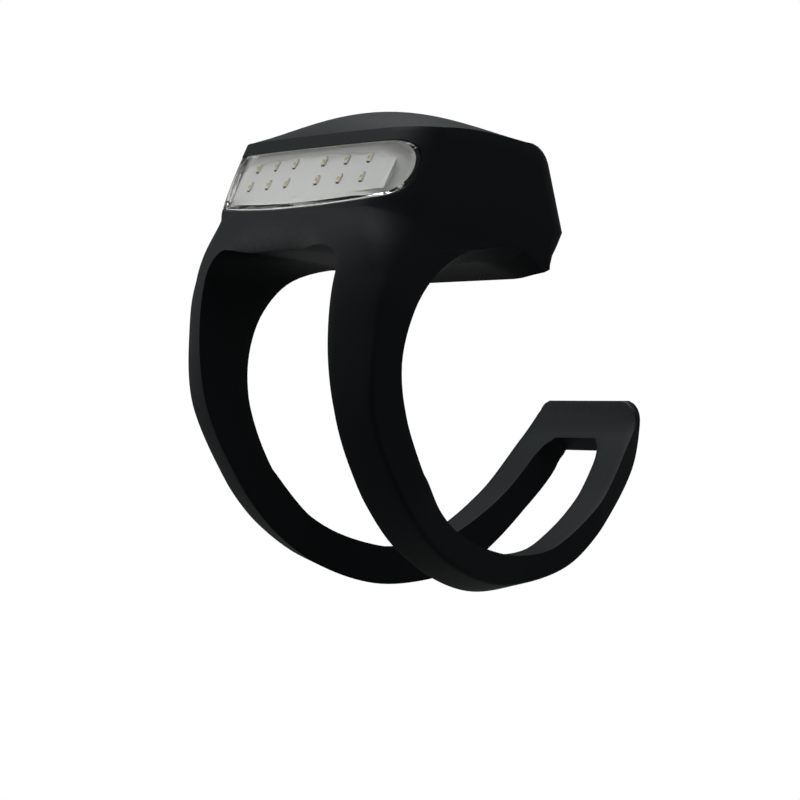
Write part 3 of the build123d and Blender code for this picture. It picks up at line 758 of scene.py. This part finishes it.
def smooth_shaded(obj, degrees):
    """Shades the object smooth, with a hard line where faces meet at more than the angle."""
    mesh = obj.data
    mesh.shade_smooth()
    mesh.set_sharp_from_angle(angle=math.radians(degrees))


smooth_shaded(sleeve, 38)
for piece in (lens_pane, tray, rim, lip):
    smooth_shaded(piece, 30)
# The sleeve's normals are kept at its corners, so that no seam shows between its shares.
corner_keep = sleeve.data.attributes.new("corner_keep", "FLOAT_VECTOR", "CORNER")
for i, corner in enumerate(sleeve.data.corner_normals):
    corner_keep.data[i].vector = corner.vector


# Where the skin is shared out: the dome above dome_cut_z, and the back of the tail behind
# tail_cut_y. Only the faces low or high enough are cut there.
dome_cut_z, tail_cut_y = 27.5, 3.4
high_from, low_from = 26, -10


def cut_faces(bm, faces, place, across):
    """Cuts these faces along the plane at place that faces across."""
    edges = {e for f in faces for e in f.edges}
    verts = {v for f in faces for v in f.verts}
    geometry = faces + list(edges | verts)
    bmesh.ops.bisect_plane(bm, geom=geometry, dist=tiny, plane_co=place, plane_no=across)


def sleeve_share(name, keep):
    """The faces of the sleeve that keep() takes, with the normals of the whole sleeve."""
    bm = bmesh.new()
    bm.from_mesh(sleeve.data)
    low = [f for f in bm.faces if f.calc_center_median().z < low_from * mm]
    cut_faces(bm, low, (0, tail_cut_y * mm, 0), (0, 1, 0))
    high = [f for f in bm.faces if f.calc_center_median().z > high_from * mm]
    cut_faces(bm, high, (0, 0, dome_cut_z * mm), (0, 0, 1))
    gone = [f for f in bm.faces if not keep(f.calc_center_median() / mm)]
    bmesh.ops.delete(bm, geom=gone, context="FACES")
    mesh = bpy.data.meshes.new(name)
    bm.to_mesh(mesh)
    bm.free()
    normals = [Vector(d.vector).normalized() for d in mesh.attributes["corner_keep"].data]
    mesh.normals_split_custom_set(normals)
    mesh.attributes.remove(mesh.attributes["corner_keep"])
    obj = bpy.data.objects.new(name, mesh)
    bpy.context.collection.objects.link(obj)
    return obj


def in_back(c):
    """Whether a face's middle is in the back share."""
    return c.z < 0 and c.y > tail_cut_y


dome = sleeve_share("sleeve_dome", lambda c: c.z > dome_cut_z)
front = sleeve_share("sleeve_front", lambda c: c.z <= dome_cut_z and not in_back(c))
back = sleeve_share("sleeve_back", in_back)
bpy.data.objects.remove(sleeve)


def linear(code):
    """Linear colour, opaque, of a web colour."""
    out = []
    for i in (1, 3, 5):
        c = int(code[i:i + 2], 16) / 255
        out.append(c / 12.92 if c <= 0.04045 else ((c + 0.055) / 1.055) ** 2.4)
    return (*out, 1.0)


def material(name, inputs):
    """Material whose shader has these inputs."""
    made = bpy.data.materials.new(name)
    made.use_nodes = True
    fill(made.node_tree, made.node_tree.nodes["Principled BSDF"], inputs)
    return made


# Near black with hardly any sheen, which makes it look like soft rubber and not like plastic.
# The grain breaks up its highlights. It is drawn at 0.6 mm, coarser than a moulded grain, so
# that it shows in the render.
grain_size, grain_depth = 0.6, 0.02
silicone = material("black_silicone", {
    "Base Color": linear("#090f11"), "Specular IOR Level": 0.12,
})
tree = silicone.node_tree
coords = add_node(tree, "ShaderNodeTexCoord")
grain = add_node(tree, "ShaderNodeTexNoise", {
    "Vector": coords.outputs["Object"], "Scale": 1 / (grain_size * mm),
})
spread = add_node(tree, "ShaderNodeMapRange", {
    "Value": grain.outputs["Fac"], "To Min": 0.49, "To Max": 0.61,
})
fine = add_node(tree, "ShaderNodeBump", {
    "Height": grain.outputs["Fac"], "Strength": 0.12, "Distance": grain_depth * mm,
})
fill(tree, tree.nodes["Principled BSDF"], {
    "Roughness": spread.outputs["Result"], "Normal": fine.outputs["Normal"],
})

# Smooth and clear: the boards and chips show through it, and its edge catches the light.
clear_pc = material("clear_polycarbonate", {
    "Base Color": linear("#fbfcfc"), "Roughness": 0.03, "IOR": 1.45, "Transmission Weight": 1.0,
})

# Pale satin plastic, the light ground that makes the chips stand out behind the lens.
white_box = material("white_reflector_plastic", {
    "Base Color": linear("#e4e4e0"), "Roughness": 0.4,
})

# The yellow patch that tells a light chip from the pale board under it.
phosphor = material("yellow_phosphor", {"Base Color": linear("#e2c25a"), "Roughness": 0.45})

# Hard black plastic, with a little more sheen than the silicone that it sits in.
nylon = material("black_nylon", {"Base Color": linear("#0d0f10"), "Roughness": 0.5})


def finished(obj, made):
    """Gives the object this material alone."""
    obj.data.materials.clear()
    obj.data.materials.append(made)


def dress(obj, made):
    """Gives the object its material."""
    finished(obj, made)


for piece in (dome, front, back):
    dress(piece, silicone)
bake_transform(dome)
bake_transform(front)
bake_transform(back)
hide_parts("sleeve_head", "leg_right", "leg_left")
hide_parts("sleeve_tail")
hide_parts("press_pad")
dress(lens_pane, clear_pc)
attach(lens_pane, "head")
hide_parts("lens")
for piece in (tray, rim, lip):
    dress(piece, white_box)
    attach(piece, "head")
    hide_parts("light_box", "light_board_right", "light_board_left")

rows_tree = chip_rows_tree()
for kind, made in (("body", white_box), ("glow", phosphor), ("leads", nylon)):
    chips = chip_rows(kind, made, rows_tree)
    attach(chips, "head")
    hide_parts("chips_upper", "chips_lower")

for node in ("case_base", "case_lid", "catch_hook"):
    finished(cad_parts[node], nylon)

# Soft light from all round, and a plain white ground behind the object for the camera alone.
world = bpy.data.worlds.new("soft_studio")
bpy.context.scene.world = world
world.use_nodes = True
tree = world.node_tree
white = (1, 1, 1, 1)
ground = add_node(tree, "ShaderNodeBackground", {"Color": white, "Strength": 1.0})
fill(tree, tree.nodes["Background"], {"Color": white, "Strength": 0.22})
path = add_node(tree, "ShaderNodeLightPath")
either = add_node(tree, "ShaderNodeMixShader", {
    "Fac": path.outputs["Is Camera Ray"],
    1: tree.nodes["Background"].outputs[0], 2: ground.outputs[0],
})
fill(tree, tree.nodes["World Output"], {"Surface": either.outputs[0]})


def lamp(name, place, target, size, power):
    """Soft rectangular light that faces the target; places and sizes are in metres."""
    data = bpy.data.lights.new(name, "AREA")
    data.shape = "RECTANGLE"
    data.size, data.size_y = size
    data.energy = power
    obj = bpy.data.objects.new(name, data)
    bpy.context.collection.objects.link(obj)
    obj.location = place
    obj.rotation_euler = (Vector(target) - Vector(place)).to_track_quat("-Z", "Y").to_euler()


# The light from above draws the sheen along the dome, and the weaker one opens up the front.
lamp("top_light", (-0.02, 0.0, 0.3), (0, 0, 0.01), (0.25, 0.25), 1.7)
lamp("front_light", (-0.22, -0.22, 0.1), (0, 0, 0.01), (0.2, 0.2), 0.45)

# The camera that was found by laying the outline over the photo: nearly level, with a long lens.
azimuth, elevation = math.radians(47.23), math.radians(0.20)
aim, away = Vector((0, -0.44 * mm, -2.39 * mm)), 0.2758
forward = Vector((
    -math.sin(azimuth) * math.cos(elevation), math.cos(azimuth) * math.cos(elevation),
    -math.sin(elevation),
))
camera_data = bpy.data.cameras.new("camera")
camera_data.lens = 109.6
camera_data.sensor_width = 36.0
camera_data.clip_start = 0.01
camera = bpy.data.objects.new("camera", camera_data)
bpy.context.collection.objects.link(camera)
camera.location = aim - forward * away
camera.rotation_euler = forward.to_track_quat("-Z", "Y").to_euler()
bpy.context.scene.camera = camera
bpy.context.scene.view_settings.view_transform = "Standard"
